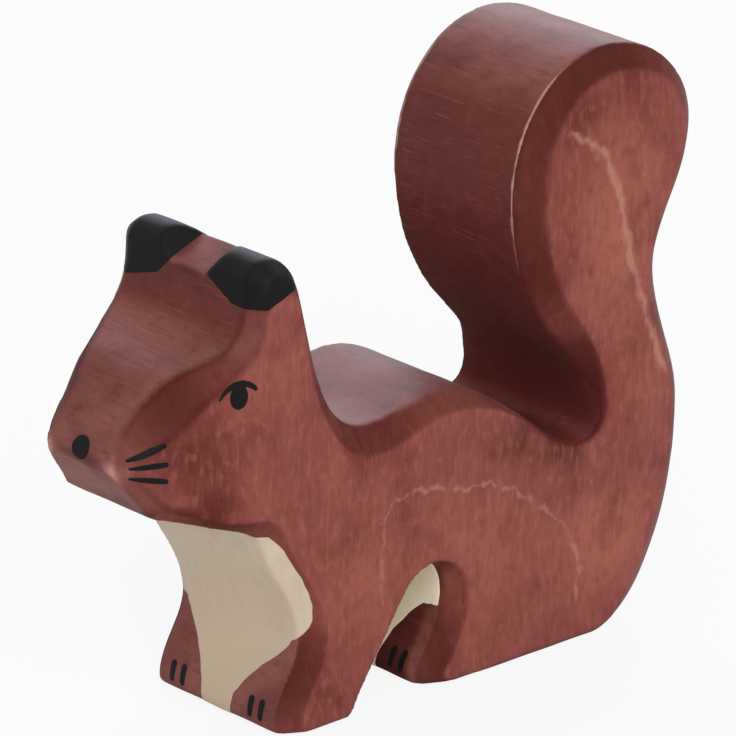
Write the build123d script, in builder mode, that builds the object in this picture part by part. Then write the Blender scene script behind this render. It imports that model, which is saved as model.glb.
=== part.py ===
"""Wooden squirrel figurine: one sawn and carved board with painted marks, in millimetres, +Z up."""

import os
from math import cos, radians, sin, tan

from build123d import *

# Whole figure
figure_length = 82.8
figure_height = 71.1
board_thickness = 24.4
bevel_depth = 2.1

# Front paw, behind the nose tip
toe_setback = 19.3
toe_height = 1.1
paw_sole_start = 20.7
paw_sole_end = 28.6
heel_setback = 30.7
heel_height = 2.4
foreleg_setback = 35.0
foreleg_height = 9.0

# Belly and hind paw, behind the nose tip
arch_setback = 41.7
arch_height = 15.3
thigh_setback = 44.5
thigh_height = 11.1
instep_setback = 42.5
instep_height = 5.0
hind_toe_setback = 40.5
hind_toe_height = 1.4
hind_sole_start = 41.6

# Rump and tail, ahead of the rear of the tail
hind_sole_end = 14.0
haunch_ahead = 5.4
haunch_height = 7.3
rump_ahead = 1.5
rump_height = 25.5
waist_ahead = 5.5
waist_height = 42.9
plume_rear_height = 59.3
crown_ahead = 13.6
plume_front_ahead = 27.6
plume_front_height = 55.5
curl_ahead = 22.2
curl_height = 38.7
notch_ahead = 15.3
notch_height = 27.7
notch_floor_ahead = 18.2
notch_floor_height = 24.9

# Back and neck, with the top of the back part of the way from the saddle to the loin
loin_ahead = 26.2
loin_height = 29.5
back_share = 0.474
back_height = 35.3
saddle_setback = 33.4
saddle_height = 34.2
nape_setback = 26.6
nape_height = 39.9

# Head, behind the nose tip and above or below it
nose_height = 35.9
ear_rear_setback = 23.4
ear_rear_rise = 16.0
ear_top_setback = 18.2
ear_top_rise = 21.5
ear_front_setback = 15.6
ear_front_rise = 18.8
brow_setback = 13.8
brow_rise = 13.0
forehead_setback = 6.6
forehead_rise = 8.9
snout_setback = 1.2
snout_rise = 2.7
lip_setback = 0.8
lip_fall = 1.6
chin_setback = 3.6
chin_fall = 5.6
jaw_setback = 4.7
jaw_fall = 6.5
cheek_setback = 11.4
cheek_fall = 8.6
throat_setback = 16.8
throat_height = 24.9
breast_setback = 18.0
breast_fall = 2.4
chest_setback = 23.0
chest_height = 11.1

# Width of the knife bevel along the outline, seen from the side
sole_bevel = 0.3
leg_bevel = 0.4
paw_bevel = 2.6
haunch_bevel = 3.0
rump_bevel = 2.3
crown_bevel = 2.6
plume_bevel = 3.4
notch_bevel = 0.4
back_bevel = 2.0
saddle_bevel = 3.2
ear_bevel = 1.5
face_bevel = 1.8
muzzle_bevel = 0.6
jaw_bevel = 1.2
breast_bevel = 2.4
chest_bevel = 2.9

# Knife cuts on the head
muzzle_width = 12.4
cheek_radius = 33.0
cheek_end = 16.4
nose_cut = 0.9
face_cut = 2.9
snout_cut = 1.7
brow_cut = 1.8
chin_cut = 1.5
pare_slope = 1.1
ear_gap_floor = 6.0
ear_gap_flare = 45.0
ear_gap_depth = 3.2
ear_gap_slope = 22.0

# Painted marks, which stand one coat proud of the wood
coat = 0.12
nose_dot = 2.9
nose_dot_lift = 0.7
nose_dot_lean = 16.7
eye_dot = 2.5
eye_setback = 13.1
eye_drop = 8.8
lid_span = 4.6
lid_rise = 1.35
lid_width = 0.7
whisker_width = 0.75
whisker_length = 3.5
whisker_setback = 1.6
whisker_lift = 1.9
whisker_pitch = 1.1
whisker_tilt = 4.0
whisker_fan = 16.5
claw_width = 0.9
claw_length = 2.6
claw_height = 2.4
claw_inner = 5.9
claw_outer = 7.7
ear_paint_drop = 5.7
ear_paint_rise = 2.8
bib_stripe = 5.2
bib_height = 11.8
bib_flare_width = 11.0
bib_flare_height = 6.8
sole_clear = 0.4

nose = -figure_length / 2
tail = figure_length / 2
face = board_thickness / 2
arris = face - bevel_depth
ear_top_height = nose_height + ear_top_rise
ear_gap_height = ear_top_height - ear_gap_depth
ear_paint_height = ear_top_height - ear_paint_drop
eye_height = ear_paint_height - eye_drop
whisker_height = nose_height - lip_fall + whisker_lift

# The cheeks are arcs in plan, from the side of the nose back to the side of the board
cheek_drop = face - muzzle_width / 2
cheek_chord = (cheek_end**2 + cheek_drop**2) ** 0.5
cheek_reach = (cheek_radius**2 - cheek_chord**2 / 4) ** 0.5
cheek_x = nose + cheek_end / 2 + cheek_reach * cheek_drop / cheek_chord
cheek_y = face - cheek_drop / 2 - cheek_reach * cheek_end / cheek_chord

# Stations of the outline: place, height, heading in degrees, bevel and slide along the sole
saddle = nose + saddle_setback
back = saddle + back_share * (tail - loin_ahead - saddle)
brow = (nose + brow_setback, nose_height + brow_rise, 230, face_bevel, 0)
forehead = (nose + forehead_setback, nose_height + forehead_rise, 217, face_bevel, 0)
snout = (nose + snout_setback, nose_height + snout_rise, 237, muzzle_bevel, 0)
nose_tip = (nose, nose_height, 270, muzzle_bevel, 0)
lip = (nose + lip_setback, nose_height - lip_fall, 300, muzzle_bevel, 0)
chin = (nose + chin_setback, nose_height - chin_fall, 296, muzzle_bevel, 0)
jaw = (nose + jaw_setback, nose_height - jaw_fall, 345, muzzle_bevel, 0)
cheek = (nose + cheek_setback, nose_height - cheek_fall, 339, jaw_bevel, 0)

# The outline runs along the floor, up the tail, over the back and down the face.
outline = [
    (nose + paw_sole_start, 0, 0, sole_bevel, paw_bevel),
    (nose + paw_sole_end, 0, 0, sole_bevel, 0),
    (nose + heel_setback, heel_height, 57, leg_bevel, 0),
    (nose + foreleg_setback, foreleg_height, 56, leg_bevel, 0),
    (nose + arch_setback, arch_height, 0, leg_bevel, 0),
    (nose + thigh_setback, thigh_height, 270, paw_bevel, 0),
    (nose + instep_setback, instep_height, 240, paw_bevel, 0),
    (nose + hind_toe_setback, hind_toe_height, 270, paw_bevel, 0),
    (nose + hind_sole_start, 0, 0, sole_bevel, paw_bevel),
    (tail - hind_sole_end, 0, 0, sole_bevel, -haunch_bevel),
    (tail - haunch_ahead, haunch_height, 62, haunch_bevel, 0),
    (tail - rump_ahead, rump_height, 90, rump_bevel, 0),
    (tail - waist_ahead, waist_height, 90, rump_bevel, 0),
    (tail, plume_rear_height, 90, rump_bevel, 0),
    (tail - crown_ahead, figure_height, 180, crown_bevel, 0),
    (tail - plume_front_ahead, plume_front_height, 270, plume_bevel, 0),
    (tail - curl_ahead, curl_height, 308, plume_bevel, 0),
    (tail - notch_ahead, notch_height, 270, notch_bevel, 0),
    (tail - notch_floor_ahead, notch_floor_height, 180, notch_bevel, 0),
    (tail - loin_ahead, loin_height, 143, notch_bevel, 0),
    (back, back_height, 180, back_bevel, 0),
    (saddle, saddle_height, 180, saddle_bevel, 0),
    (nose + nape_setback, nape_height, 111, back_bevel, 0),
    (nose + ear_rear_setback, nose_height + ear_rear_rise, 103, ear_bevel, 0),
    (nose + ear_top_setback, ear_top_height, 180, ear_bevel, 0),
    (nose + ear_front_setback, nose_height + ear_front_rise, 270, ear_bevel, 0),
    brow,
    forehead,
    snout,
    nose_tip,
    lip,
    chin,
    jaw,
    cheek,
    (nose + throat_setback, throat_height, 328, breast_bevel, 0),
    (nose + breast_setback, throat_height - breast_fall, 292, breast_bevel, 0),
    (nose + chest_setback, chest_height, 270, chest_bevel, 0),
    (nose + toe_setback, toe_height, 270, paw_bevel, 0),
]


def controls(start, end):
    """Control points of the curve that leaves one station and arrives at the next on the headings."""
    x0, z0, heading0 = start
    x1, z1, heading1 = end
    chord = ((x1 - x0) ** 2 + (z1 - z0) ** 2) ** 0.5
    turn = abs((heading1 - heading0 + 180) % 360 - 180)
    handle = chord / 3 / cos(radians(turn / 4)) ** 2
    return [
        (x0, z0),
        (x0 + handle * cos(radians(heading0)), z0 + handle * sin(radians(heading0))),
        (x1 - handle * cos(radians(heading1)), z1 - handle * sin(radians(heading1))),
        (x1, z1),
    ]


def side_outline(depth, bevelled, grow):
    """Face inside the outline at a depth through the board, drawn in by the bevel or out by a coat."""
    ring = []
    for x, z, heading, bevel, slide in outline:
        inward = bevelled * bevel - grow
        along = bevelled * slide
        ring.append(
            (
                x + along * cos(radians(heading)) - inward * sin(radians(heading)),
                z + along * sin(radians(heading)) + inward * cos(radians(heading)),
                heading,
            )
        )
    edges = []
    for start, end in zip(ring, ring[1:] + ring[:1]):
        points = [(x, -depth, z) for x, z in controls(start, end)]
        if start[1:] == end[1:]:
            edges.append(Edge.make_line(points[0], points[-1]))
        else:
            edges.append(Edge.make_bezier(*points))
    return Face(Wire(edges))


def half_width(x):
    """Half the width of the head across the cheeks at a place along it."""
    return cheek_y + (cheek_radius**2 - (x - cheek_x) ** 2) ** 0.5


def pared_section(start, end, part_way, cut, grow):
    """One triangle of the wedge pared off between the front of the face and the right cheek."""
    curve = Edge.make_bezier(*controls(start[:3], end[:3]))
    x, z, _ = curve @ part_way
    along_x, along_z, _ = curve % part_way
    in_x = x - pare_slope * cut * along_z
    in_z = z + pare_slope * cut * along_x
    clear = pare_slope * cut + grow
    return Face(
        Wire.make_polygon(
            [
                (x + grow * along_z, half_width(x) - cut, z - grow * along_x),
                (in_x, half_width(in_x) + grow, in_z),
                (x + clear * along_z, half_width(x) + clear, z - clear * along_x),
            ]
        )
    )


def pared_wedge(grow):
    """The shaving pared off along the right edge of the face, from the brow down to the jaw."""
    with BuildPart() as wedge:
        loft(
            [
                pared_section(brow, forehead, 0, brow_cut, grow),
                pared_section(brow, forehead, 0.5, (brow_cut + face_cut) / 2, grow),
                pared_section(brow, forehead, 1, face_cut, grow),
                pared_section(forehead, snout, 0.5, face_cut, grow),
                pared_section(forehead, snout, 1, snout_cut, grow),
                pared_section(snout, nose_tip, 1, nose_cut, grow),
                pared_section(nose_tip, lip, 1, nose_cut, grow),
                pared_section(chin, jaw, 0.5, chin_cut, grow),
                pared_section(jaw, cheek, 1, chin_cut / 2, grow),
            ],
            ruled=True,
        )
    return wedge.part


def carve(grow=0):
    """Carve the figure from its board, or the same figure grown outward by a coat of paint."""
    shaving = pared_wedge(grow)
    with BuildPart() as figure:
        sawn = side_outline(arris + grow, 0, grow)
        extrude(sawn, amount=2 * (arris + grow), dir=(0, 1, 0))
        loft([sawn, side_outline(face + grow, 1, grow)], ruled=True)
        mirror(about=Plane.XZ)
        with BuildSketch(Plane.XY):
            with BuildLine():
                start = (nose - cheek_end, muzzle_width / 2 + grow)
                end = (nose + cheek_end, face + grow)
                middle = nose + cheek_end / 2
                outer = face + figure_height
                Polyline(end, (end[0], outer), (start[0], outer), start, (nose, start[1]))
                ThreePointArc((nose, start[1]), (middle, half_width(middle) + grow), end)
            make_face()
            mirror(about=Plane.XZ)
        extrude(amount=figure_height, mode=Mode.SUBTRACT)
        add(shaving, mode=Mode.SUBTRACT)
        add(mirror(shaving, about=Plane.XZ, mode=Mode.PRIVATE), mode=Mode.SUBTRACT)
        lean = (cos(radians(ear_gap_slope)), 0, sin(radians(ear_gap_slope)))
        gap_start = (nose + ear_front_setback, 0, ear_gap_height + grow)
        with BuildSketch(Plane(gap_start, x_dir=(0, 1, 0), z_dir=lean)):
            rise = 2 * (ear_top_height - ear_gap_height)
            half = ear_gap_floor / 2 - grow
            flared = half + rise * tan(radians(ear_gap_flare))
            Polygon((-half, 0), (half, 0), (flared, rise), (-flared, rise), align=None)
        extrude(amount=ear_rear_setback - ear_front_setback, both=True, mode=Mode.SUBTRACT)
    return figure.part


def painted(stencil):
    """Keep the coat of paint that lies on the wood inside a stencil."""
    with BuildPart() as film:
        add(coated)
        add(stencil, mode=Mode.INTERSECT)
        add(wooden_body.part, mode=Mode.SUBTRACT)
    return film.part


def bib(first, last, half):
    """Stencil of the pale fur: a stripe between the paws that flares out over the whole front."""
    with BuildPart() as stencil:
        with BuildSketch(Plane.YZ.offset(first)):
            with BuildLine():
                edge = Spline(
                    (bib_stripe / 2, sole_clear),
                    (bib_flare_width / 2, bib_flare_height),
                    (half, bib_height),
                    tangents=((0, 1), (1, 0.6)),
                )
                Polyline(edge @ 1, (half, throat_height), (0, throat_height), (0, sole_clear), edge @ 0)
            make_face()
            mirror(about=Plane.YZ)
        extrude(amount=last - first)
    return stencil.part


def ear_tip(side):
    """Stencil of the dark tip of one ear."""
    low = ear_paint_height
    inner = ear_gap_floor / 2 + coat
    with BuildPart() as stencil:
        with BuildSketch(Plane.YZ.offset(nose + brow_setback)):
            with BuildLine():
                edge = ThreePointArc(
                    (side * arris, low),
                    (side * (arris + inner) / 2, low + ear_paint_rise / 4),
                    (side * inner, low + ear_paint_rise),
                )
                Polyline(
                    edge @ 1,
                    (side * inner, figure_height),
                    (side * board_thickness, figure_height),
                    (side * board_thickness, low),
                    edge @ 0,
                )
            make_face()
        extrude(amount=nape_setback - brow_setback)
    return stencil.part


def eye(side):
    """Stencil of one eye: a dot under an arched lid."""
    with BuildPart() as stencil:
        with BuildSketch(Plane.XZ):
            with Locations((nose + eye_setback, eye_height)):
                Circle(eye_dot / 2)
            with BuildLine():
                ThreePointArc(
                    (nose + eye_setback - lid_span / 2, eye_height),
                    (nose + eye_setback, eye_height + lid_rise),
                    (nose + eye_setback + lid_span / 2, eye_height + lid_rise / 3),
                )
            trace(line_width=lid_width)
        extrude(amount=-side * board_thickness)
    return stencil.part


def whisker(side, row):
    """Stencil of one whisker stroke, counted from the middle one up."""
    tilt = whisker_tilt + row * whisker_fan
    reach = whisker_length / 2
    middle = (
        nose + whisker_setback + reach * cos(radians(tilt)),
        whisker_height + row * whisker_pitch + reach * sin(radians(tilt)),
    )
    with BuildPart() as stencil:
        with BuildSketch(Plane.XZ):
            with Locations(middle):
                SlotOverall(whisker_length, whisker_width, rotation=tilt)
        extrude(amount=-side * board_thickness)
    return stencil.part


def claw(toe, across):
    """Stencil of one claw stroke on the front of a paw."""
    with BuildPart() as stencil:
        with BuildSketch(Plane.YZ.offset(toe)):
            with Locations((across, claw_height)):
                SlotOverall(claw_length, claw_width, rotation=90)
        extrude(amount=claw_length, both=True)
    return stencil.part


coated = carve(coat)
front_toe = nose + toe_setback
hind_toe = nose + hind_toe_setback

with BuildPart() as wooden_body:
    add(carve())

with BuildPart() as nose_spot:
    forward = (-cos(radians(nose_dot_lean)), 0, sin(radians(nose_dot_lean)))
    with BuildSketch(Plane((nose, 0, nose_height), x_dir=(0, -1, 0), z_dir=forward)):
        with Locations((0, nose_dot_lift)):
            Circle(nose_dot / 2)
    extrude(amount=nose_dot, both=True)

stencils = {
    "breast_paint": bib(nose + throat_setback, nose + paw_sole_end, face),
    "belly_paint": bib(nose + foreleg_setback, nose + thigh_setback + bib_stripe, arris),
    "nose_paint": nose_spot.part,
}
for name, side in (("left", -1), ("right", 1)):
    stencils[f"ear_tip_{name}"] = ear_tip(side)
    stencils[f"eye_{name}"] = eye(side)
    stencils[f"whisker_upper_{name}"] = whisker(side, 1)
    stencils[f"whisker_middle_{name}"] = whisker(side, 0)
    stencils[f"whisker_lower_{name}"] = whisker(side, -1)
    stencils[f"front_claw_inner_{name}"] = claw(front_toe, side * claw_inner)
    stencils[f"front_claw_outer_{name}"] = claw(front_toe, side * claw_outer)
    stencils[f"hind_claw_inner_{name}"] = claw(hind_toe, side * claw_inner)
    stencils[f"hind_claw_outer_{name}"] = claw(hind_toe, side * claw_outer)

pieces = {"wooden_body": wooden_body.part}
for label, stencil in stencils.items():
    pieces[label] = painted(stencil)

os.makedirs("parts", exist_ok=True)
for label, piece in pieces.items():
    piece.label = label
    export_step(piece, f"parts/{label}.step")
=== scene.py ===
"""Painted wooden squirrel: the carved and stained figure, its painted marks and a plain studio stage."""

import math
from functools import partial

import bmesh
import bpy
import numpy as np
from bpy.props import FloatProperty, FloatVectorProperty, IntProperty, PointerProperty
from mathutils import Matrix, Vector


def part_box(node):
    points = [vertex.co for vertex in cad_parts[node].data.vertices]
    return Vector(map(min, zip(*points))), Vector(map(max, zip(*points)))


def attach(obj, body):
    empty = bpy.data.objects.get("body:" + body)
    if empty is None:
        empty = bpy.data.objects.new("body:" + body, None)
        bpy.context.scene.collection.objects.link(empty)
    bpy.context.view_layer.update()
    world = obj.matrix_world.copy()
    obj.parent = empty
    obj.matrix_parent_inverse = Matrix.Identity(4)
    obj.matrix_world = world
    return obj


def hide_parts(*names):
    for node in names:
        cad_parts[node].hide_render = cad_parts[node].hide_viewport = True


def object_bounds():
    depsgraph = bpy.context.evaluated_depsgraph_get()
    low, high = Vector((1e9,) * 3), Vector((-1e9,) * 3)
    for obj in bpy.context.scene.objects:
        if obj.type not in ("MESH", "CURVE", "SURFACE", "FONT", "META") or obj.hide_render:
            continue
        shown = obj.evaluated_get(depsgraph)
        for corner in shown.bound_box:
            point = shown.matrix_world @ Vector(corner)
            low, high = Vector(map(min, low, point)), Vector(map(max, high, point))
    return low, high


bl_info = {
    "name": "Painted Wooden Squirrel",
    "version": (1, 0, 0),
    "blender": (4, 5, 0),
    "location": "View3D > Sidebar > Squirrel",
    "description": "Carves and paints a small wooden squirrel on its packed frame",
    "category": "Object",
}

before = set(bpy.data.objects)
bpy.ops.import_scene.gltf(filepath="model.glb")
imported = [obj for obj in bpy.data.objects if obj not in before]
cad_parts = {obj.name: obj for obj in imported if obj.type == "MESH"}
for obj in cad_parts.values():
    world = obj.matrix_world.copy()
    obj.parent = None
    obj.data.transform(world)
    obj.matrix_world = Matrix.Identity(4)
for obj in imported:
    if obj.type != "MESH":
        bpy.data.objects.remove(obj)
CAD_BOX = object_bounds()
MM = 0.001
SIDES = (("left", -1), ("right", 1))
CLAWS = ("front_claw_inner", "front_claw_outer", "hind_claw_inner", "hind_claw_outer")

# Limits of the figure's parts, lengthways from its middle and up from the floor.
BREAST_REAR = -14 * MM
BREAST_FOOT = 9 * MM
BREAST_TOP = 26 * MM
LEGS_REAR = 7 * MM
LEGS_TOP = 17 * MM
HIND_PAW_FRONT = -6 * MM
HIND_PAW_INSIDE = 5 * MM
HIND_PAW_TOP = 15 * MM
TAIL_FOOT_LOW = 30 * MM
TAIL_FOOT_HIGH = 49 * MM
TAIL_FOOT_REAR = 28 * MM
WELD = 0.001 * MM

# A surface's turn is 0 on a sawn edge of the board and 1 on its face, and the bevels lie between.
FACE_RIM = (0.7, 0.985)
PAW_CORNER = (0.1, 0.72)
SAWN_TO_FACE = (0.45, 0.97)
KNIFE_EDGE = 0.33
CUT_FACET = 0.62
SHADED_BEVEL = 0.68
# How far from the shaded bevel's turn the shade begins, and where it is full.
SHADED_BAND = (0.4, 0.2)
# How fast paleness grows off the face, and how many millimetres of fading a growth ring gains there.
EDGE_PALING = 1.7
RING_FADE = 8
# Upward lean at which the painted highlight on the top of the figure begins, and where it is full.
TOP_LEAN = (0.4, 0.9)

# Rise over its neighbours, in millimetres, at which a vertex is a full edge or a full hollow.
EDGE_BEND = 0.034
HOLLOW_BEND = -0.023
BEND_PASSES = 4

# The face and the rubbed corner of the muzzle, in millimetres.
FACE_REAR = -20
FACE_FOOT = 30
MUZZLE_REAR = -37
MUZZLE_CORNER = (6, 35.8)
MUZZLE_SPREAD = 5

# Where a paler or darker tone begins and where it is full, in millimetres; the far paw's and the lower
# tail's darkening is painted shade.
FRONT_PALENESS = (-14, -18)
BROW = (44, 48)
FAR_PAW_OUT = (3, 6)
FAR_PAW_UP = (12, 9)
HIND_PAW_OUT = (7.5, 9.5)
LOWER_TAIL = (58, 44)
# Shares of the paleness that the brow and the far paw lose, the far paw's loss being painted shade, and the
# strength of the tail's painted shade.
BROW_SHARE = 0.8
FAR_PAW_SHARE = 0.4
LOWER_TAIL_SHARE = 0.55

# Heights at which the growth rings end, the haunch's before and behind the middle of the flank.
FLANK_MIDDLE = 5
HAUNCH_RING_ENDS = (12.5, 5)
TAIL_RING_ENDS = (30, 62.5)

# Growth rings on the face of the board, as lengthways place and height in millimetres.
HAUNCH_RING = (
    (-7.6, 12.5),
    (-7.7, 15.5),
    (-7.8, 18.4),
    (-7.5, 22.6),
    (-5.7, 25.1),
    (-1.9, 25.3),
    (2.6, 24.5),
    (5.6, 23.5),
    (8.6, 23.7),
    (12.0, 21.6),
    (15.0, 19.6),
    (19.7, 15.9),
    (22.4, 11.6),
    (23.0, 8.8),
    (22.2, 5.2),
)
TAIL_RING = (
    (20.9, 62.8),
    (26.0, 58.8),
    (28.5, 54.3),
    (29.2, 49.8),
    (31.3, 43.5),
    (33.3, 37.6),
    (35.3, 31.7),
    (36.6, 28.4),
)

# Soft spots where the board's stain is thin, and below nothing where it is thick; those below nothing by
# the notch, under the jaw and low on the back are painted shade. Place, height, radius and strength.
TONE_AND_SHADE_SPOTS = (
    (7, 15, 9, 0.5),
    (27, 12, 7, 0.85),
    (33, 31, 6, 0.4),
    (29, 48, 9, 0.7),
    (30, 59, 6, 0.35),
    (-12, 16, 7, 0.55),
    (-34, 41, 2.5, 0.35),
    (-33, 37, 5, -0.8),
    (-31, 30, 2.5, -0.6),
    (22, 24.5, 4, -0.7),
    (16, 26.5, 4, -0.9),
    (28, 21.5, 3.5, -0.4),
    (18.5, 56, 4, -0.4),
    (23, 64, 4, -0.55),
    (30, 66.5, 3.5, -0.45),
    (17, 47, 3.5, -0.4),
    (3, 29, 4, -0.3),
    (10, 28, 4, -0.3),
    (-18, 4, 6, -0.35),
    (6, 1.5, 4, -0.3),
)
# Soft spots of painted shade inside the arch, and of darker stain with painted shade on the bevels.
ARCH_SHADE = ((-3, 5, 8, 1.0),)
BEVEL_SHADE = (
    (24, 30.5, 6, 1.1),
    (15, 49, 10, 0.6),
    (18, 63, 8, 0.5),
    (28, 68, 8, 0.7),
    (-30, 29, 5, 0.8),
    (-35, 43, 6, 0.7),
    (-19.5, 9.5, 4, 0.6),
    (-21, 4.5, 4, 0.5),
    (-12, 33.5, 4, 0.4),
    (-5.5, 33, 4, 0.5),
    (16.5, 26.5, 4, 0.5),
    (2.8, 7, 3, 0.45),
    (2.2, 2, 3.5, 0.7),
)
# Soft spots where the top's painted highlight is held back in the notch before the tail, and where the hind
# paws are paler in front.
NOTCH_SHADE = ((20, 27, 6, 1.0),)
PALE_PAW = ((0.5, 5, 6, 1.2),)
# Soft spots where the knife's edge on the tail is rubbed bare.
TAIL_EDGE = (
    (19.2, 70.0, 4, 0.8),
    (16.5, 65.5, 4, 0.8),
    (14.7, 60.2, 4, 0.8),
    (13.7, 55.6, 4, 0.6),
    (14.4, 49.5, 4, 0.4),
)

# Half width of the cream by height in millimetres, which narrows between the paws.
BREAST_OUTLINE = (
    (0, 2.3),
    (3, 2.8),
    (5, 4.0),
    (6.8, 5.6),
    (8.8, 8.0),
    (10.2, 9.8),
    (11.6, 11.4),
    (13, 13),
    (15, 17),
)
BELLY_OUTLINE = (
    (0, 3.0),
    (5, 4.2),
    (7.5, 6.0),
    (8.8, 7.5),
    (9.2, 10.4),
    (10, 17),
)
# How far back the breast's cream comes on the bevels, by height.
BREAST_RIM = (
    (8, -19),
    (9.8, -18.4),
    (11.6, -17.4),
    (13.2, -16.8),
    (15.4, -16.5),
    (19, -17.5),
    (23, -20.6),
    (26, -24.5),
)
BREAST_FLAT = 9.5
FUR_INSET = 0.25
FUR_SLACK = 0.5
FLARE_SLANT = 0.75
RIM_SLANT = 0.8

# Height of an ear's painted edge over its lowest point, by the distance outwards from the cleft.
EAR_EDGES = {
    "left": ((0, 3.2), (2.5, 1.8), (4.9, 0.7), (7.0, 0.6)),
    "right": ((0, 2.7), (1.7, 0.9), (4.5, 0.1), (7.3, -0.6)),
}
EAR_LEVEL_DEPTH = 2.0
EAR_REAR_RISE = 0.38
EAR_SLACK = 1.0

# The brush stroke over an eye, as places about its middle and half widths in millimetres.
LID = (
    (-2.2, 0.35, 0.12),
    (-1.75, 1.0, 0.22),
    (-1.1, 1.5, 0.32),
    (-0.4, 1.8, 0.38),
    (0.5, 1.85, 0.38),
    (1.3, 1.6, 0.33),
    (1.9, 1.2, 0.28),
    (2.2, 0.9, 0.24),
)
EYE_RISE = 1.05
PUPIL_OFFSET = (0.1, 0.3)
PUPIL_RADII = (1.1, 1.42)
NOSE_RISE = 0.5
NOSE_RADII = (1.4, 1.28)
NOSE_SLACK = 1.0
CHEEK_INSIDE = 4.0

# How far each whisker's ends keep inside the height of its node, in millimetres.
WHISKER_INSETS = {"upper": 0.05, "middle": 0.37, "lower": 0.37}
# Share of a whisker's length and half width there.
WHISKER_SHAPE = ((-0.04, 0.14), (0.25, 0.28), (0.65, 0.34), (0.95, 0.28))
CLAW_HALF_WIDTHS = (0.35, 0.45)
CLAW_SLACK = 0.5

# Each paint's colour, brushed shade and foot tone, then its roughness and specular level.
PAINTS = {
    "cream paint": ("cream", "#c7b69f", "#c8b59a", 0.65, 0.3),
    # The belly's paint is the breast's cream made paler, as painted light under the arch.
    "belly cream painted paler": ("belly", "#efe3ca", "#f3e6c8", 0.65, 0.3),
    "black paint": ("black", "#171415", "#0e0c0d", 0.55, 0.14),
}

FLOOR_REACH = 3.0
FLOOR_WHITE = 0.88
LAMP_DISTANCE = 0.9
LAMP_WIDTH = 0.7
SENSOR_WIDTH = 36


def linear(code):
    """Linear red, green and blue of an sRGB hex colour."""
    shares = [int(code[i : i + 2], 16) / 255 for i in (1, 3, 5)]
    return [s / 12.92 if s <= 0.04045 else ((s + 0.055) / 1.055) ** 2.4 for s in shares]


def colour(name, description, code):
    """A colour property with its default given as an sRGB hex value."""
    return FloatVectorProperty(name=name, description=description, subtype="COLOR", default=linear(code))


def length(name, description, millimetres):
    """A length property with its default given in millimetres."""
    return FloatProperty(
        name=name, description=description, default=millimetres * MM, unit="LENGTH", precision=5
    )


def angle(name, description, degrees):
    """An angle property with its default given in degrees."""
    return FloatProperty(name=name, description=description, default=math.radians(degrees), subtype="ANGLE")


class SquirrelWood(bpy.types.PropertyGroup):
    """The carved wood and its stain."""

    voxel: length("Voxel", "Grid on which the carved surface is rebuilt", 0.42)
    sanding: IntProperty(
        name="Sanding", description="Passes that soften the knife-cut edges", default=2
    )
    rolling: IntProperty(
        name="Rolling", description="Passes that round the rim of the board's face", default=10
    )
    ripple: length("Knife ripple", "Height of the unevenness that the knife leaves", 0.05)
    side: colour("Side", "Stained face of the board", "#8a473f")
    sawn: colour("Sawn edge", "Stained edge that the saw left across the board", "#672c25")
    # This dark colour also paints shade into the hollows, the arch, the bevels and the lower tail.
    deep: colour("Gathered stain", "Stain soaked into cut facets, hollows and pores", "#461612")
    pale: colour("Pale wood", "Wood that shows on rubbed edges and growth rings", "#d0958a")
    roughness: FloatProperty(
        name="Roughness", description="Roughness of the waxed stain", default=0.5, subtype="FACTOR"
    )


class SquirrelPaint(bpy.types.PropertyGroup):
    """The brushed paint."""

    cream: colour("Cream", "Paint of the breast", "#d3c2ac")
    # The belly's cream is the breast's paint made paler as painted light, for the shade under the arch.
    belly: colour("Belly", "Thicker and paler paint under the belly", "#fbf1da")
    black: colour("Black", "Paint of the ears, eyes, nose, whiskers and claws", "#0e0c0d")
    lift: length("Lift", "Height of the paint over the wood", 0.05)
    coat: length("Coat", "Thickness of the coat, part of which lies in the grain", 0.12)
    ragged: length("Ragged edge", "How far the brush strays from its line", 0.04)


class SquirrelStage(bpy.types.PropertyGroup):
    """Camera, lights and floor."""

    azimuth: angle("Azimuth", "Camera round the figure", -41.382)
    elevation: angle("Elevation", "Camera above the floor", 20.675)
    distance: length("Distance", "Camera to its target", 796.18)
    target: FloatVectorProperty(
        name="Target",
        description="Point that the camera looks at",
        subtype="TRANSLATION",
        default=(0.99 * MM, 0, 35.824 * MM),
    )
    focal: FloatProperty(
        name="Focal length", description="Lens on a 36 mm frame", default=342.4, unit="CAMERA"
    )
    key: FloatProperty(
        name="Key", description="Power of the soft box before the near side", default=4.5, unit="POWER"
    )
    back: FloatProperty(
        name="Back", description="Power of the cool soft box behind", default=3.4, unit="POWER"
    )
    fill: FloatProperty(name="Fill", description="Light from all round", default=0.42)
    floor: colour("Floor", "Pale floor", "#f7f6f4")


def vertex_array(mesh, name, width=3):
    """A vertex property of a mesh as rows of numbers."""
    values = np.empty(len(mesh.vertices) * width, np.float32)
    mesh.vertices.foreach_get(name, values)
    return values.reshape(-1, width).astype(float)


def set_attribute(mesh, name, values):
    """Keep one number per vertex under a name that a material can read."""
    layer = mesh.attributes.new(name, "FLOAT", "POINT")
    layer.data.foreach_set("value", values.astype(np.float32))


def add_piece(name, mesh, material, slot, *nodes):
    """Link a finished mesh as a piece that rides the figure and stands for its nodes."""
    mesh.polygons.foreach_set("use_smooth", [True] * len(mesh.polygons))
    mesh.materials.clear()
    mesh.materials.append(material)
    piece = bpy.data.objects.new(name, mesh)
    bpy.context.scene.collection.objects.link(piece)
    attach(piece, "root")
    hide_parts(*nodes)


def ring_mean(values, edges):
    """Mean of each vertex's neighbours."""
    total = np.zeros_like(values)
    count = np.zeros(len(values))
    for start, end in ((0, 1), (1, 0)):
        np.add.at(total, edges[:, start], values[edges[:, end]])
        np.add.at(count, edges[:, start], 1)
    return total / (count[:, None] if values.ndim > 1 else count)


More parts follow.
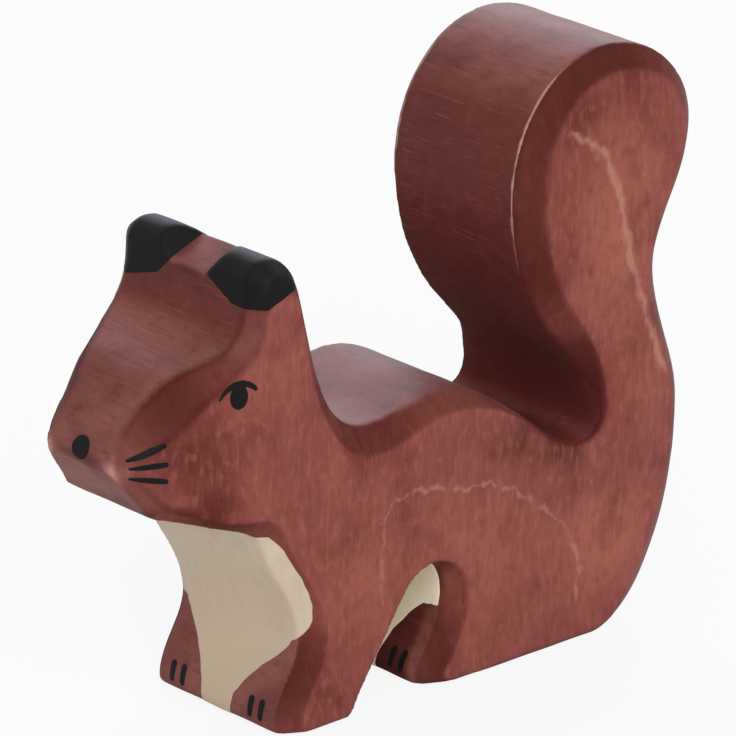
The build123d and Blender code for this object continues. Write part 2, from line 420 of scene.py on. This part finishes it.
def remeshed(mesh, voxel):
    """A copy of a mesh rebuilt on an even grid."""
    blank = bpy.data.objects.new("blank", mesh)
    bpy.context.scene.collection.objects.link(blank)
    grid = blank.modifiers.new("Grid", "REMESH")
    grid.mode = "VOXEL"
    grid.voxel_size = voxel
    graph = bpy.context.evaluated_depsgraph_get()
    made = bpy.data.meshes.new_from_object(blank.evaluated_get(graph))
    bpy.data.objects.remove(blank)
    return made


def smooth(bm, verts):
    """One pass of sandpaper."""
    bmesh.ops.smooth_vert(bm, verts=verts, factor=0.5, use_axis_x=True, use_axis_y=True, use_axis_z=True)


def roll(bm, verts, passes, turns):
    """Sand the vertices whose turn from the sawn edge to the face lies between two limits."""
    low, high = turns
    for _ in range(passes):
        bm.normal_update()
        smooth(bm, [vert for vert in verts if low < abs(vert.normal.y) < high])


def on_breast(place):
    """Whether a place is on the breast, where the knife's facets stayed crisp."""
    return place.x < BREAST_REAR and BREAST_FOOT < place.z < BREAST_TOP


def on_head(place):
    """Whether a place is on the head, whose edges were sanded less."""
    return place.x < BREAST_REAR and place.z > BREAST_TOP


def on_crisp_rim(place):
    """Whether a place is on a leg or the tail's foot, where the rim of the board's face stayed crisp."""
    on_leg = place.x < LEGS_REAR and place.z < LEGS_TOP
    on_tail_foot = place.x < TAIL_FOOT_REAR and TAIL_FOOT_LOW < place.z < TAIL_FOOT_HIGH
    return on_leg or on_tail_foot


def on_hind_paw(place):
    """Whether a place is on the front of a hind paw, whose corner was sanded round."""
    outside = abs(place.y) > HIND_PAW_INSIDE and place.z < HIND_PAW_TOP
    return outside and HIND_PAW_FRONT < place.x < LEGS_REAR


def ripple(places):
    """A slow unevenness from -1 to 1 over the surface, for places in millimetres."""
    x, y, z = places.T
    return (
        np.sin(0.71 * x + 0.43 * z + 1.0)
        + np.sin(0.57 * z - 0.38 * x + 0.61 * y)
        + np.sin(0.93 * y + 0.29 * x + 2.0)
    ) / 3


def ramp(values, none, full):
    """How far values have come from none to full, from 0 to 1."""
    return np.clip((values - none) / (full - none), 0, 1)


def soft_spots(across, up, spots):
    """Soft round patches added up. Each has its place, radius and strength."""
    total = np.zeros(len(across))
    for x, z, radius, strength in spots:
        total += strength * np.exp(-((across - x) ** 2 + (up - z) ** 2) / radius**2)
    return total


def growth_ring(across, up, points):
    """Millimetres to a growth ring drawn through points, below nothing on its right hand."""
    best = np.full(len(across), 1e3)
    last = len(points) - 2
    # The first and last run go on straight past the ring's ends.
    beyond = 9
    for number, ((x0, z0), (x1, z1)) in enumerate(zip(points, points[1:])):
        run = np.array((x1 - x0, z1 - z0))
        part = ((across - x0) * run[0] + (up - z0) * run[1]) / (run @ run)
        part = np.clip(part, -beyond if number == 0 else 0, beyond if number == last else 1)
        away = np.hypot(across - x0 - part * run[0], up - z0 - part * run[1])
        hand = np.sign(run[0] * (up - z0) - run[1] * (across - x0))
        best = np.where(away < np.abs(best), hand * away, best)
    return best


def carve(settings):
    """The figure with sanded edges and the knife's unevenness."""
    bm = bmesh.new()
    bm.from_mesh(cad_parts["wooden_body"].data)
    bmesh.ops.remove_doubles(bm, verts=bm.verts, dist=WELD)
    blank = bpy.data.meshes.new("blank")
    bm.to_mesh(blank)
    bm.free()
    mesh = remeshed(blank, settings.voxel)
    bm = bmesh.new()
    bm.from_mesh(mesh)
    smooth(bm, bm.verts)
    sanded = [vert for vert in bm.verts if not on_breast(vert.co) and not on_head(vert.co)]
    for _ in range(settings.sanding):
        smooth(bm, sanded)
    rim = [vert for vert in sanded if not on_crisp_rim(vert.co)]
    roll(bm, rim, settings.rolling, FACE_RIM)
    paws = [vert for vert in sanded if on_hind_paw(vert.co)]
    roll(bm, paws, settings.rolling, PAW_CORNER)
    bm.to_mesh(mesh)
    bm.free()
    places = vertex_array(mesh, "co")
    places += vertex_array(mesh, "normal") * settings.ripple * ripple(places / MM)[:, None]
    lowest, highest = CAD_BOX
    places = np.clip(places, list(lowest), list(highest))
    mesh.vertices.foreach_set("co", places.astype(np.float32).ravel())
    mesh.update()
    return mesh


def bends(mesh):
    """Evened rise of each vertex over its neighbours in millimetres, below nothing in a hollow."""
    edges = np.empty(len(mesh.edges) * 2, np.int64)
    mesh.edges.foreach_get("vertices", edges)
    edges = edges.reshape(-1, 2)
    places = vertex_array(mesh, "co")
    rise = ((places - ring_mean(places, edges)) * vertex_array(mesh, "normal")).sum(1) / MM
    for _ in range(BEND_PASSES):
        rise = ring_mean(rise, edges)
    return rise


def mark_finish(mesh):
    """Keep where the wood is rubbed, hollow, pale or dark, and where shade or a sheen is painted on, as
    attributes, and give their names.
    """
    x, y, z = vertex_array(mesh, "co").T / MM
    forward, sideways, upward = (vertex_array(mesh, "normal") * (-1, 1, 1)).T
    out = np.abs(y)
    turn = np.abs(sideways)
    bend = bends(mesh)
    edge = ramp(bend, 0, EDGE_BEND)
    corner_out, corner_up = MUZZLE_CORNER
    from_corner = (out - corner_out) ** 2 + (z - corner_up) ** 2
    on_corner = np.exp(-from_corner / MUZZLE_SPREAD) * (x < MUZZLE_REAR)
    on_face = (x < FACE_REAR) & (z > FACE_FOOT)

    # The front is paler and carries a painted sheen, less so over the brow, and painted shade dims it on
    # the far front paw.
    brow = BROW_SHARE * ramp(z, *BROW)
    far_paw = FAR_PAW_SHARE * ramp(y, *FAR_PAW_OUT) * ramp(z, *FAR_PAW_UP)
    front_paleness = ramp(x, *FRONT_PALENESS) * (1 - brow) * (1 - far_paw)
    # Upward faces get a painted highlight, held back in the notch before the tail.
    top = ramp(upward, *TOP_LEAN) * (1 - soft_spots(x, z, NOTCH_SHADE))
    hind_paw = soft_spots(x, z, PALE_PAW) * ramp(out, *HIND_PAW_OUT)
    palest = np.maximum(np.maximum(front_paleness, top), hind_paw)

    # Painted shade darkens the inside of the arch and the lower front of the tail, and darker stain with
    # painted shade lies on the bevels.
    arch = (forward - 2 * turn).clip(0, 1) * (soft_spots(x, z, ARCH_SHADE) - hind_paw).clip(0)
    bevel = ramp(np.abs(turn - SHADED_BEVEL), *SHADED_BAND) * soft_spots(x, z, BEVEL_SHADE)
    lower_tail = LOWER_TAIL_SHARE * forward.clip(0, 1) * (x > FLANK_MIDDLE) * ramp(z, *LOWER_TAIL)

    # A growth ring fades off the face of the board and past its own ends.
    off_face = RING_FADE * (1 - turn)
    haunch_foot = np.where(x < FLANK_MIDDLE, *HAUNCH_RING_ENDS)
    tail_foot, tail_head = TAIL_RING_ENDS
    marks = {
        "board_side": turn,
        # Hollows are darkened, partly by stain soaked in and partly as painted shade.
        "hollow": ramp(bend, 0, HOLLOW_BEND),
        "rubbed": 2 * edge * on_corner,
        "face_line": edge * on_face * (1 - on_corner),
        # Painted sheen on the tops and a paler front, off the face of the board.
        "pale_front_and_sheen": palest * (EDGE_PALING * (1 - turn)).clip(0, 1),
        # Spots of thin and thick stain, and spots of painted shade.
        "stain_tone_and_shade": soft_spots(x, z, TONE_AND_SHADE_SPOTS),
        "stain_and_painted_shade": arch + bevel + lower_tail,
        "haunch_ring": growth_ring(x, z, HAUNCH_RING),
        "haunch_end": off_face + (haunch_foot - z).clip(0),
        "tail_ring": growth_ring(x, z, TAIL_RING),
        "tail_end": off_face + (z - tail_head).clip(0) + (tail_foot - z).clip(0),
        "tail_edge": soft_spots(x, z, TAIL_EDGE).clip(0, 1),
    }
    for name, values in marks.items():
        set_attribute(mesh, name, values)
    return tuple(marks)


def ragged(places, size):
    """The wander of a brush along the edge of a mark, in millimetres."""
    x, y, z = places.T
    wave = np.sin(2.3 * x + 1.7 * z) + np.sin(3.1 * z - 2.6 * y) + np.sin(4.7 * y + 3.9 * x + 1.3)
    return wave * size / 3


def dot(across, up, centre, radii):
    """How far inside an oval each place lies, in millimetres."""
    reach = np.hypot((across - centre[0]) / radii[0], (up - centre[1]) / radii[1])
    return (1 - reach) * min(radii)


def stroke(across, up, points):
    """How far inside a brush stroke each place lies. Each point has its place and half width."""
    best = np.full(len(across), -1e3)
    for (x0, z0, r0), (x1, z1, r1) in zip(points, points[1:]):
        run = np.array((x1 - x0, z1 - z0))
        part = ((across - x0) * run[0] + (up - z0) * run[1]) / (run @ run)
        part = np.clip(part, 0, 1)
        away = np.hypot(across - x0 - part * run[0], up - z0 - part * run[1])
        best = np.maximum(best, r0 + part * (r1 - r0) - away)
    return best


def both(*fields):
    """How far inside all of several fields each place lies, with the corner where they meet rounded."""
    softness = 0.8
    return -softness * np.log(sum(np.exp(-np.clip(field, -20, 20) / softness) for field in fields))


def paint_on(name, inside, cuts, paint, slot, node):
    """Lay a coat of paint on the part of the carved figure that lies inside a mark."""
    settings = bpy.context.scene.squirrel_paint
    body = bpy.data.objects["carved_figure"].data
    margin = 1.2
    near = inside(vertex_array(body, "co") / MM) > -margin
    bm = bmesh.new()
    bm.from_mesh(body)
    far = [vert for vert, keep in zip(bm.verts, near) if not keep]
    bmesh.ops.delete(bm, geom=far, context="VERTS")
    bmesh.ops.subdivide_edges(bm, edges=bm.edges, cuts=cuts, use_grid_fill=True)
    for _ in range(2):
        smooth(bm, bm.verts)

    # Cut the faces along the mark's outline and drop what lies outside it.
    depth = inside(np.array([vert.co for vert in bm.verts]) / MM)
    level = {vert: value if value else 1e-6 for vert, value in zip(bm.verts, depth)}
    line = []
    for edge in list(bm.edges):
        start, end = edge.verts
        if level[start] * level[end] < 0:
            share = level[start] / (level[start] - level[end])
            line.append(bmesh.utils.edge_split(edge, start, share)[1])
    bmesh.ops.connect_verts(bm, verts=line)
    outside = [face for face in bm.faces if sum(level.get(vert, 0) for vert in face.verts) < 0]
    bmesh.ops.delete(bm, geom=outside, context="FACES")

    bm.normal_update()
    for vert in bm.verts:
        vert.co += vert.normal * settings.lift
    bmesh.ops.solidify(bm, geom=bm.faces[:], thickness=settings.coat)
    bmesh.ops.recalc_face_normals(bm, faces=bm.faces)
    mesh = bpy.data.meshes.new(name)
    bm.to_mesh(mesh)
    bm.free()
    if not mesh.polygons:
        raise RuntimeError(f"no paint reached {node}")
    add_piece(name, mesh, paint_material(paint), slot, node)


def paint_black(name, inside, node, cuts=3):
    """Lay a coat of black paint."""
    paint_on(name, inside, cuts, "black paint", "black_paint", node)


def node_box(node):
    """Lowest and highest corner of a node, in millimetres."""
    low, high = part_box(node)
    return np.array(low) / MM, np.array(high) / MM


def add_node(tree, kind, inputs, output=0, **settings):
    """Add one shader node with its settings, fill or link its inputs, and give one of its outputs."""
    made = tree.nodes.new("ShaderNode" + kind)
    for name, value in settings.items():
        setattr(made, name, value)
    for name, value in inputs.items():
        if isinstance(value, bpy.types.NodeSocket):
            tree.links.new(value, made.inputs[name])
        else:
            made.inputs[name].default_value = value
    return made if output is None else made.outputs[output]


def new_material(name):
    """An empty material, its shader, a maker of nodes, and places on the piece in millimetres."""
    material = bpy.data.materials.new(name)
    material.use_nodes = True
    tree = material.node_tree
    tree.nodes.clear()
    add = partial(add_node, tree)
    surface = add("BsdfPrincipled", {}).node
    add("OutputMaterial", {"Surface": surface.outputs["BSDF"]}, None)
    place = add("TexCoord", {}, "Object")
    millimetres = add("VectorMath", {0: place, "Scale": 1 / MM}, operation="SCALE")
    return material, surface, add, millimetres


def grain(add, place, size, detail):
    """Noise with its size lengthways, across the board and upwards in millimetres."""
    stretched = add("Mapping", {"Vector": place, "Scale": [1 / part for part in size]})
    return add("TexNoise", {"Vector": stretched, "Scale": 1.0, "Detail": detail})


def layered(add, base, *layers):
    """Lay colours over a base.

    Each layer has a pattern, the pattern's values for none and for full, its share at full and its colour.
    """
    for pattern, none, full, share, tone in layers:
        limits = {"Value": pattern, "From Min": none, "From Max": full, "To Max": share}
        amount = add("MapRange", limits, interpolation_type="SMOOTHSTEP")
        base = add("Mix", {0: amount, 6: base, 7: [*tone, 1]}, 2, data_type="RGBA")
    return base


def stained_wood(settings, names):
    """Close-grained hardwood, band-sawn, cut with a knife and sanded, then stained and waxed.

    The faces of the board show short upright pores and cloudy stain, the sawn edges streaks across the
    board, the growth rings pale lines, rubbed edges paler wood, and cut facets darker stain. Hollows and
    bevels take darker stain and painted shade, the arch and the lower tail painted shade, and the front and
    tops a painted sheen.
    """
    material, surface, add, place = new_material("stained hardwood")
    pale, deep = settings.pale, settings.deep
    marks = {name: add("Attribute", {}, "Fac", attribute_name=name) for name in names}

    # Pores are 0.3 mm wide and 2 mm tall on the faces, and saw streaks 0.3 mm by 5 mm on the edges.
    pores = grain(add, place, (0.3, 2.0, 2.0), 3)
    streaks = grain(add, place, (0.3, 5.0, 0.3), 3)
    # Bundles of fibres are 0.7 mm by 4 mm, and specks of unevenly soaked stain 1 to 2 mm.
    fibres = grain(add, place, (0.7, 4.0, 4.0), 4)
    mottle = grain(add, place, (1.0, 1.8, 1.6), 3)
    # Clouds of stain are 5 to 9 mm, and a growth ring wanders every 2 to 3 mm.
    clouds = grain(add, place, (5.0, 9.0, 7.0), 4)
    wander = grain(add, place, (2.2, 2.2, 3.0), 3)

    # Saw streaks fade out on the cut facets.
    pale_streaks = add("Math", {0: marks["board_side"], 1: 0.4, 2: streaks}, operation="MULTIPLY_ADD")
    dark_streaks = add("Math", {0: marks["board_side"], 1: -0.3, 2: streaks}, operation="MULTIPLY_ADD")

    face = layered(
        add,
        [*settings.side, 1],
        # Spots of thin and thick stain, and spots of painted shade by the notch, under the jaw and low on
        # the back.
        (marks["stain_tone_and_shade"], 0.0, 0.9, 0.9, linear("#a9604f")),
        (marks["stain_tone_and_shade"], 0.0, -0.9, 0.9, linear("#5a241f")),
        (clouds, 0.48, 0.75, 0.55, linear("#9c5a4c")),
        (clouds, 0.50, 0.28, 0.6, linear("#6d2f28")),
        (fibres, 0.52, 0.78, 0.3, linear("#ac6a58")),
        (fibres, 0.46, 0.26, 0.3, linear("#672b25")),
        (mottle, 0.50, 0.75, 0.35, linear("#a9665a")),
        (mottle, 0.50, 0.25, 0.3, linear("#6a2f29")),
        (pores, 0.55, 0.75, 0.2, deep),
        (pores, 0.44, 0.26, 0.1, pale),
    )
    edge = layered(
        add,
        [*settings.sawn, 1],
        # The paler front and the painted sheen on the tops of the sawn edges.
        (marks["pale_front_and_sheen"], 0.1, 0.9, 0.9, linear("#8c534b")),
        (clouds, 0.42, 0.70, 0.6, linear("#5d2a25")),
        (mottle, 0.50, 0.75, 0.3, linear("#7c4038")),
        (mottle, 0.50, 0.25, 0.3, deep),
        (dark_streaks, 0.54, 0.74, 0.35, deep),
        (pale_streaks, 0.42, 0.26, 0.11, pale),
    )
    sawn, flat = SAWN_TO_FACE
    on_side = add("MapRange", {"Value": marks["board_side"], "From Min": sawn, "From Max": flat})
    stain = add("Mix", {0: on_side, 6: edge, 7: face}, 2, data_type="RGBA")

    # A cut facet lies between the face and the sawn edge of the board, so its turn is middling.
    facet = add("Math", {0: marks["board_side"], 1: CUT_FACET}, operation="SUBTRACT")
    facet = add("Math", {0: facet}, operation="ABSOLUTE")

    # A growth ring strays from its line by up to 0.45 mm, and is broken where the stain took unevenly.
    limits = {"From Min": 0.3, "From Max": 0.7, "To Min": -0.45, "To Max": 0.45}
    stray = add("MapRange", {"Value": wander, **limits})
    broken = add("MapRange", {"Value": mottle, "From Min": 0.35, "From Max": 0.70, "To Max": 0.55})
    rings = {}
    for name in ("haunch", "tail"):
        away = add("Math", {0: marks[f"{name}_ring"], 1: stray}, operation="ADD")
        away = add("Math", {0: away}, operation="ABSOLUTE")
        away = add("Math", {0: away, 1: marks[f"{name}_end"]}, operation="ADD")
        rings[name] = add("Math", {0: away, 1: broken}, operation="ADD")

    # Rubbed wood is patchy, and bare in a thin line along the knife's edge on the tail.
    patchy = add("MapRange", {"Value": clouds, "From Min": 0.35, "From Max": 0.60, "To Min": 0.35})
    rubbed = add("Math", {0: marks["rubbed"], 1: patchy}, operation="MULTIPLY")
    away = add("Math", {0: marks["board_side"], 1: KNIFE_EDGE}, operation="SUBTRACT")
    away = add("Math", {0: away}, operation="ABSOLUTE")
    bare = add("MapRange", {"Value": away, "From Min": 0.22, "From Max": 0.055})
    bare = add("Math", {0: bare, 1: marks["tail_edge"]}, operation="MULTIPLY")
    bare = add("Math", {0: bare, 1: patchy}, operation="MULTIPLY")

    # Cut facets take darker stain, hollows and bevels darker stain and painted shade, and the arch and the
    # lower tail painted shade.
    stain = layered(
        add,
        stain,
        (facet, 0.36, 0.16, 0.22, deep),
        (marks["stain_and_painted_shade"], 0.1, 0.8, 0.75, deep),
        (rings["haunch"], 0.6, 0.1, 0.34, pale),
        (rings["tail"], 1.1, 0.1, 0.42, linear("#d29c85")),
        # Hollows darken with stain and painted shade.
        (marks["hollow"], 0.1, 0.9, 0.65, deep),
        (marks["face_line"], 0.1, 0.7, 0.8, deep),
        (rubbed, 0.15, 0.9, 0.8, pale),
        (bare, 0.1, 0.8, 0.7, linear("#cda39b")),
    )
    height = add("Mix", {0: on_side, 2: streaks, 3: pores}, 0, data_type="FLOAT")
    relief = add("Bump", {"Height": height, "Strength": 0.2, "Distance": 0.05 * MM})

    # Wax was rubbed on where a cloth reaches, so the places of dark stain and painted shade are rougher.
    limits = {"From Min": 0.02, "From Max": 0.3, "To Min": settings.roughness, "To Max": 0.95}
    waxed = add("MapRange", {"Value": marks["stain_and_painted_shade"], **limits})
    tree = material.node_tree
    tree.links.new(stain, surface.inputs["Base Color"])
    tree.links.new(relief, surface.inputs["Normal"])
    tree.links.new(waxed, surface.inputs["Roughness"])
    surface.inputs["Specular IOR Level"].default_value = 0.2
    return material


def brushed_paint(name, base, shade, foot, roughness, gloss):
    """Water-based paint brushed on wood: close to matt, faintly streaked, and darker towards the foot."""
    material, surface, add, place = new_material(name)
    # A brush hair's track is drawn 1 mm wide so that it shows, and runs for about 3 mm.
    brush = grain(add, place, (1.0, 1.0, 3.0), 3)
    height = add("SeparateXYZ", {"Vector": place}, "Z")
    # The colour turns to the foot tone from 18 mm over the floor down to 3 mm.
    tone = layered(
        add,
        [*base, 1],
        (height, 18, 3, 0.9, linear(foot)),
        (brush, 0.40, 0.70, 0.45, linear(shade)),
    )
    relief = add("Bump", {"Height": brush, "Strength": 0.12, "Distance": 0.04 * MM})
    tree = material.node_tree
    tree.links.new(tone, surface.inputs["Base Color"])
    tree.links.new(relief, surface.inputs["Normal"])
    surface.inputs["Roughness"].default_value = roughness
    surface.inputs["Specular IOR Level"].default_value = gloss
    return material


def paint_material(name):
    """One of the paints, made once."""
    if name in bpy.data.materials:
        return bpy.data.materials[name]
    base, *look = PAINTS[name]
    return brushed_paint(name, getattr(bpy.context.scene.squirrel_paint, base), *look)


class SQUIRREL_OT_carve(bpy.types.Operator):
    """Carve the figure from its board, sand its edges and stain it"""

    bl_idname = "squirrel.carve"
    bl_label = "Carve the Figure"

    def execute(self, context):
        settings = context.scene.squirrel_wood
        mesh = carve(settings)
        wood = stained_wood(settings, mark_finish(mesh))
        add_piece("carved_figure", mesh, wood, "stained_wood", "wooden_body")
        return {"FINISHED"}


class SQUIRREL_OT_pale_fur(bpy.types.Operator):
    """Paint the breast and the belly cream"""

    bl_idname = "squirrel.pale_fur"
    bl_label = "Paint the Pale Fur"

    def execute(self, context):
        wander = context.scene.squirrel_paint.ragged / MM
        furs = (
            ("breast", BREAST_OUTLINE, "cream paint"),
            ("belly", BELLY_OUTLINE, "belly cream painted paler"),
        )
        for name, outline, paint in furs:
            low, high = node_box(f"{name}_paint")

            def inside(places, name=name, outline=outline, low=low, high=high):
                x, y, z = places.T
                out = np.abs(y)
                flare = np.interp(z, *np.array(outline).T) - out
                flat = np.minimum(high[1] - FUR_INSET - out, flare * FLARE_SLANT)
                ends = np.minimum(z - low[2], high[2] - z)
                rows = np.minimum(x - low[0], high[0] - x) + FUR_SLACK
                if name == "breast":
                    rim = np.interp(z, *np.array(BREAST_RIM).T) - x
                    flat = both(flat, np.maximum(rim, BREAST_FLAT - out) * RIM_SLANT)
                return np.minimum(np.minimum(flat, ends), rows) + ragged(places, wander)

            paint_on(f"{name}_fur", inside, 1, paint, "cream_paint", f"{name}_paint")
        return {"FINISHED"}


class SQUIRREL_OT_ears(bpy.types.Operator):
    """Paint the tips of the ears black"""

    bl_idname = "squirrel.ears"
    bl_label = "Paint the Ears"

    def execute(self, context):
        wander = context.scene.squirrel_paint.ragged / MM
        for name, side in SIDES:
            low, high = node_box(f"ear_tip_{name}")
            cleft = min(abs(low[1]), abs(high[1]))

            def inside(places, name=name, side=side, low=low, high=high, cleft=cleft):
                x, y, z = places.T
                out = side * y - cleft
                edge = low[2] + np.interp(out, *np.array(EAR_EDGES[name]).T)
                edge += EAR_REAR_RISE * (x - low[0] - EAR_LEVEL_DEPTH).clip(0)
                rows = np.minimum(x - low[0], high[0] - x) + EAR_SLACK
                return np.minimum(np.minimum(z - edge, out), rows) + ragged(places, wander)

            paint_black(f"ear_{name}", inside, f"ear_tip_{name}", cuts=1)
        return {"FINISHED"}


class SQUIRREL_OT_face(bpy.types.Operator):
    """Paint the nose, the eyes and the whiskers"""

    bl_idname = "squirrel.face"
    bl_label = "Paint the Face"

    def execute(self, context):
        low, high = node_box("nose_paint")
        middle = (0, (low[2] + high[2]) / 2 + NOSE_RISE)
        rear = high[0] + NOSE_SLACK

        def nose(places):
            x, y, z = places.T
            return np.minimum(dot(y, z, middle, NOSE_RADII), rear - x)

        paint_black("nose_dot", nose, "nose_paint")
        for name, side in SIDES:
            self.paint_eye(name, side)
            for row, inset in WHISKER_INSETS.items():
                self.paint_whisker(f"whisker_{row}_{name}", side, inset, falls=row == "lower")
        return {"FINISHED"}

    def paint_eye(self, name, side):
        """Paint the pupil and the lid on one side of the head."""
        low, high = node_box(f"eye_{name}")
        middle = (low[0] + high[0]) / 2
        level = low[2] + EYE_RISE
        lid = [(middle + x, level + z, half) for x, z, half in LID]
        pupil = (middle + PUPIL_OFFSET[0], level + PUPIL_OFFSET[1])

        def eye(places):
            x, y, z = places.T
            mark = np.maximum(dot(x, z, pupil, PUPIL_RADII), stroke(x, z, lid))
            return np.minimum(mark, side * y - CHEEK_INSIDE)

        paint_black(f"painted_eye_{name}", eye, f"eye_{name}")

    def paint_whisker(self, node, side, inset, falls):
        """Paint one whisker, which rises or falls towards the rear."""
        low, high = node_box(node)
        start, end = low[2] + inset, high[2] - inset
        if falls:
            start, end = end, start
        reach = high[0] - low[0]
        line = [(low[0] + part * reach, start + part * (end - start), half) for part, half in WHISKER_SHAPE]

        def whisker(places):
            x, y, z = places.T
            return np.minimum(stroke(x, z, line), side * y - CHEEK_INSIDE)

        paint_black(f"painted_{node}", whisker, node)


class SQUIRREL_OT_claws(bpy.types.Operator):
    """Paint the claws on the four paws"""

    bl_idname = "squirrel.claws"
    bl_label = "Paint the Claws"

    def execute(self, context):
        lower, upper = CLAW_HALF_WIDTHS
        for name, _ in SIDES:
            for claw in CLAWS:
                node = f"{claw}_{name}"
                low, high = node_box(node)
                across = (low[1] + high[1]) / 2
                half = (high[1] - low[1]) / 2
                line = [(across, low[2] + half, lower), (across, high[2] - half, upper)]

                def inside(places, low=low, high=high, line=line):
                    x, y, z = places.T
                    rows = np.minimum(x - low[0], high[0] - x) + CLAW_SLACK
                    return np.minimum(stroke(y, z, line), rows)

                paint_black(f"painted_{node}", inside, node)
        return {"FINISHED"}


def aim(thing, place, target):
    """Put a lamp or camera at a place and turn it to its target."""
    thing.location = place
    thing.rotation_mode = "QUATERNION"
    thing.rotation_quaternion = (target - place).to_track_quat("-Z", "Y")


def direction(azimuth, elevation):
    """Unit vector from the figure towards an azimuth and elevation in degrees."""
    a, e = math.radians(azimuth), math.radians(elevation)
    return Vector((math.sin(a) * math.cos(e), -math.cos(a) * math.cos(e), math.sin(e)))


def matt_floor(tone):
    """Matt white paint on a studio floor: plain and even, with a faint shadow."""
    material, surface, add, _ = new_material("matt floor")
    surface.inputs["Base Color"].default_value = [*tone, 1]
    surface.inputs["Roughness"].default_value = 0.9
    # Most of what the camera sees of the floor is plain white, and the rest keeps the shadow.
    seen = add("LightPath", {}, "Is Camera Ray")
    share = add("Math", {0: seen, 1: FLOOR_WHITE}, operation="MULTIPLY")
    white = add("Emission", {"Color": (1, 1, 1, 1), "Strength": 1.0})
    blended = add("MixShader", {0: share, 1: surface.outputs["BSDF"], 2: white})
    add("OutputMaterial", {"Surface": blended}, None, is_active_output=True)
    return material


def studio_world(fill):
    """White all round to the eye and in reflections, and a weaker light on the figure."""
    world = bpy.data.worlds.new("studio")
    world.use_nodes = True
    world.node_tree.nodes.clear()
    add = partial(add_node, world.node_tree)
    rays = add("LightPath", {}).node.outputs
    seen = add("Math", {0: rays["Is Camera Ray"], 1: rays["Is Glossy Ray"]}, operation="ADD")
    strength = add("MapRange", {"Value": seen, "To Min": fill, "To Max": 1.0})
    background = add("Background", {"Color": (1, 1, 1, 1), "Strength": strength})
    add("OutputWorld", {"Surface": background}, None)
    return world


class SQUIRREL_OT_stage(bpy.types.Operator):
    """Set the floor, the soft light and the camera"""

    bl_idname = "squirrel.stage"
    bl_label = "Set the Stage"

    def execute(self, context):
        scene = context.scene
        stage = scene.squirrel_stage
        scene.view_settings.view_transform = "Standard"
        scene.world = studio_world(stage.fill)
        bm = bmesh.new()
        bmesh.ops.create_grid(bm, x_segments=1, y_segments=1, size=FLOOR_REACH)
        mesh = bpy.data.meshes.new("floor")
        bm.to_mesh(mesh)
        bm.free()
        mesh.materials.append(matt_floor(stage.floor))
        floor = bpy.data.objects.new("floor", mesh)
        scene.collection.objects.link(floor)

        centre = Vector(stage.target)
        lamps = (
            ("soft box near", stage.key, (-31, 29), "#ffffff"),
            ("soft box behind", stage.back, (140, 28), "#e6ecff"),
        )
        for name, power, place, tint in lamps:
            lamp = bpy.data.lights.new(name, "AREA")
            lamp.shape = "DISK"
            lamp.size = LAMP_WIDTH
            lamp.energy = power
            lamp.color = linear(tint)
            light = bpy.data.objects.new(name, lamp)
            scene.collection.objects.link(light)
            aim(light, centre + direction(*place) * LAMP_DISTANCE, centre)

        lens = bpy.data.cameras.new("camera")
        lens.lens = stage.focal
        lens.sensor_width = SENSOR_WIDTH
        lens.clip_start = 10 * MM
        camera = bpy.data.objects.new("camera", lens)
        scene.collection.objects.link(camera)
        view = direction(math.degrees(stage.azimuth), math.degrees(stage.elevation))
        aim(camera, centre + view * stage.distance, centre)
        scene.camera = camera
        return {"FINISHED"}


STEPS = (
    SQUIRREL_OT_carve,
    SQUIRREL_OT_pale_fur,
    SQUIRREL_OT_ears,
    SQUIRREL_OT_face,
    SQUIRREL_OT_claws,
    SQUIRREL_OT_stage,
)
GROUPS = {
    "squirrel_wood": SquirrelWood,
    "squirrel_paint": SquirrelPaint,
    "squirrel_stage": SquirrelStage,
}


class SQUIRREL_PT_panel(bpy.types.Panel):
    """Lists the sizes and colours of the squirrel and the steps that make it, in order"""

    bl_label = "Wooden Squirrel"
    bl_idname = "SQUIRREL_PT_panel"
    bl_space_type = "VIEW_3D"
    bl_region_type = "UI"
    bl_category = "Squirrel"

    def draw(self, context):
        for name, kind in GROUPS.items():
            box = self.layout.box()
            for setting in kind.__annotations__:
                box.prop(getattr(context.scene, name), setting)
        for step in STEPS:
            self.layout.operator(step.bl_idname)


CLASSES = (*GROUPS.values(), *STEPS, SQUIRREL_PT_panel)


def register():
    """Register the classes and hang their settings on the scene."""
    for kind in CLASSES:
        bpy.utils.register_class(kind)
    for name, group in GROUPS.items():
        setattr(bpy.types.Scene, name, PointerProperty(type=group))


def unregister():
    """Take the settings and the classes away again."""
    for name in GROUPS:
        delattr(bpy.types.Scene, name)
    for kind in reversed(CLASSES):
        bpy.utils.unregister_class(kind)


def main():
    register()
    for step in STEPS:
        group, name = step.bl_idname.split(".")
        getattr(getattr(bpy.ops, group), name)()


if __name__ == "__main__":
    main()
